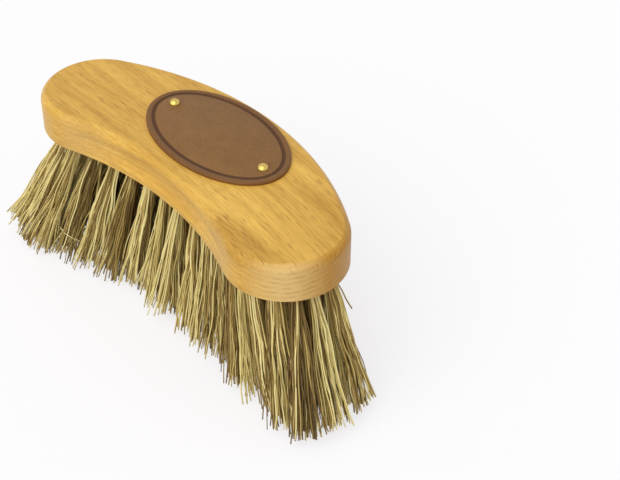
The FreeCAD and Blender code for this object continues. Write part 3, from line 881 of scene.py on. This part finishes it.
class BRUSH_OT_fibre_tufts(bpy.types.Operator):
    """Grow the fibres of every tuft"""
    bl_idname = "brush.fibre_tufts"
    bl_label = "Fibre Tufts"

    def execute(self, context):
        look = context.scene.brush_fibres
        material = root_fibre(look)
        blank = straight_fibre()
        draw = random.Random(look.seed)
        for row, node in enumerate(TUFT_ROWS):
            fibres = []
            tufts = read_tufts(node)
            across = row / (len(TUFT_ROWS) - 1)
            for tuft in tufts:
                lean = tuft.stray(draw, look.clump) + worn_set(tuft.mouth.x, across)
                pale_share = draw.gauss(along(PALE_SET, tuft.mouth.x)[0], look.mix)
                for _ in range(look.strands):
                    strand = Strand(tuft, look, draw, lean, pale_share)
                    fibres += [Fibre(strand, look, draw) for _ in range(look.per_strand)]
            if row == 0:
                fibres.append(LooseFibre(tufts[-1], look))
            fibres.sort(key=lambda fibre: fibre.tone)
            self.grow(fibres, blank, f"fibre_row_{row + 1}", material, node)
        return {"FINISHED"}

    @staticmethod
    def grow(fibres, blank, name, material, node):
        """Make one row's fibres, each on its own strip of the map in order of tone."""
        bm = bmesh.new()
        for _ in fibres:
            bm.from_mesh(blank)
        bm.verts.ensure_lookup_table()
        bm.faces.ensure_lookup_table()
        strip = bm.loops.layers.uv[STRIP_MAP]
        vert_count = len(blank.vertices)
        face_count = len(blank.polygons)
        for number, fibre in enumerate(fibres):
            fibre.shape(bm.verts[number * vert_count:(number + 1) * vert_count])
            for face in bm.faces[number * face_count:(number + 1) * face_count]:
                for corner in face.loops:
                    spot = corner[strip]
                    spot.uv.x = (number + spot.uv.x) / len(fibres)
        finish_piece(bm, name, [material], "fibre", node)


# ---- stage --------------------------------------------------------------------------

def seen_rays(tree):
    """1 where the camera sees a surface, straight or in metal or glass, and 0 elsewhere."""
    rays = add_node(tree, "LightPath").outputs
    seen = add_node(tree, "Math", {0: rays["Is Camera Ray"], 1: rays["Is Glossy Ray"]},
                    operation="MAXIMUM")
    seen = add_node(tree, "Math", {0: seen.outputs[0], 1: rays["Is Transmission Ray"]},
                    operation="MAXIMUM")
    return seen.outputs[0]


class BRUSH_OT_stage(bpy.types.Operator):
    """Set the floor, the lamps and the camera"""
    bl_idname = "brush.stage"
    bl_label = "Stage"

    def execute(self, context):
        look = context.scene.brush_stage
        self.lay_floor(look)
        self.light_sky(look)
        self.hang_key(look)
        self.place_camera(look)
        context.scene.view_settings.view_transform = "Standard"
        return {"FINISHED"}

    @staticmethod
    def lay_floor(look):
        bm = bmesh.new()
        bmesh.ops.create_grid(bm, x_segments=1, y_segments=1, size=look.floor_reach)
        mesh = bpy.data.meshes.new("studio_floor")
        bm.to_mesh(mesh)
        bm.free()
        material, tree, shader = new_material("matt_paper")
        seen = seen_rays(tree)
        paper = add_node(tree, "Mix", {0: seen, 6: (*look.bounce, 1), 7: (*look.floor, 1)},
                         data_type="RGBA")
        tree.links.new(paper.outputs[2], shader.inputs["Base Color"])
        shader.inputs["Roughness"].default_value = 1
        shader.inputs["Specular IOR Level"].default_value = 0
        white = add_node(tree, "Emission", {"Color": (*look.floor, 1), "Strength": 1})
        share = add_node(tree, "Math", {0: seen, 1: look.floor_glow}, operation="MULTIPLY")
        paper = add_node(tree, "MixShader", {0: share.outputs[0], 1: shader.outputs[0],
                                             2: white.outputs[0]})
        surface = next(node for node in tree.nodes if node.type == "OUTPUT_MATERIAL")
        tree.links.new(paper.outputs[0], surface.inputs["Surface"])
        mesh.materials.append(material)
        floor = bpy.data.objects.new("studio_floor", mesh)
        bpy.context.scene.collection.objects.link(floor)
        floor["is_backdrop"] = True

    @staticmethod
    def light_sky(look):
        """An even sky, which the camera and bright metal see as white."""
        world = bpy.data.worlds.new("studio_sky")
        bpy.context.scene.world = world
        world.use_nodes = True
        tree = world.node_tree
        sky = next(node for node in tree.nodes if node.type == "BACKGROUND")
        level = add_node(tree, "MapRange", {"Value": seen_rays(tree), "To Min": look.sky,
                                            "To Max": 1})
        tree.links.new(level.outputs[0], sky.inputs["Strength"])
        sky.inputs["Color"].default_value = (1, 1, 1, 1)

    @staticmethod
    def hang_key(look):
        """A broad light far away, so that the floor is lit evenly."""
        lamp = bpy.data.lights.new("soft_key", "SUN")
        lamp.angle = look.key_width
        lamp.energy = look.key
        hung = bpy.data.objects.new("soft_key", lamp)
        flat = math.cos(look.key_height)
        source = Vector((flat * math.cos(look.key_turn), flat * math.sin(look.key_turn),
                         math.sin(look.key_height)))
        hung.rotation_euler = source.to_track_quat("Z", "Y").to_euler()
        bpy.context.scene.collection.objects.link(hung)

    @staticmethod
    def place_camera(look):
        camera = bpy.data.cameras.new("camera")
        camera.sensor_fit = "HORIZONTAL"
        camera.sensor_width = 36
        camera.lens = look.camera_lens
        camera.clip_start = 0.01
        stand = bpy.data.objects.new("camera", camera)
        aim = Vector(look.camera_aim) - Vector(look.camera_place)
        turn = aim.to_track_quat("-Z", "Y") @ Quaternion((0, 0, 1), look.camera_roll)
        stand.location = look.camera_place
        stand.rotation_euler = turn.to_euler()
        bpy.context.scene.collection.objects.link(stand)
        bpy.context.scene.camera = stand


# ---- add-on ---------------------------------------------------------------------------

STEPS = [BRUSH_OT_stage, BRUSH_OT_beech_back, BRUSH_OT_leather_oval, BRUSH_OT_brass_nails,
         BRUSH_OT_anchor_wire, BRUSH_OT_fibre_tufts]
GROUPS = {"brush_beech": BeechSettings, "brush_leather": LeatherSettings,
          "brush_nails": NailSettings, "brush_fibres": FibreSettings,
          "brush_stage": StageSettings}


class BRUSH_PT_panel(bpy.types.Panel):
    """Settings and steps of the brush"""
    bl_idname = "BRUSH_PT_panel"
    bl_label = "Fibre Brush"
    bl_space_type = "VIEW_3D"
    bl_region_type = "UI"
    bl_category = "Brush"

    def draw(self, context):
        layout = self.layout
        for step in STEPS:
            layout.operator(step.bl_idname)
        for name, group in GROUPS.items():
            box = layout.box()
            box.label(text=name.removeprefix("brush_").title())
            for setting in group.__annotations__:
                box.prop(getattr(context.scene, name), setting)


def register():
    for cls in [*GROUPS.values(), *STEPS, BRUSH_PT_panel]:
        bpy.utils.register_class(cls)
    for name, group in GROUPS.items():
        setattr(bpy.types.Scene, name, PointerProperty(type=group))


def unregister():
    for name in GROUPS:
        delattr(bpy.types.Scene, name)
    for cls in reversed([*GROUPS.values(), *STEPS, BRUSH_PT_panel]):
        bpy.utils.unregister_class(cls)


def main():
    register()
    bpy.ops.brush.stage()
    bpy.ops.brush.beech_back()
    bpy.ops.brush.leather_oval()
    bpy.ops.brush.brass_nails()
    bpy.ops.brush.anchor_wire()
    bpy.ops.brush.fibre_tufts()
    boxes = {"cad": cad_box, "visual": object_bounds()}
    {name: [list(corner) for corner in box] for name, box in boxes.items()}


if __name__ == "__main__":
    main()
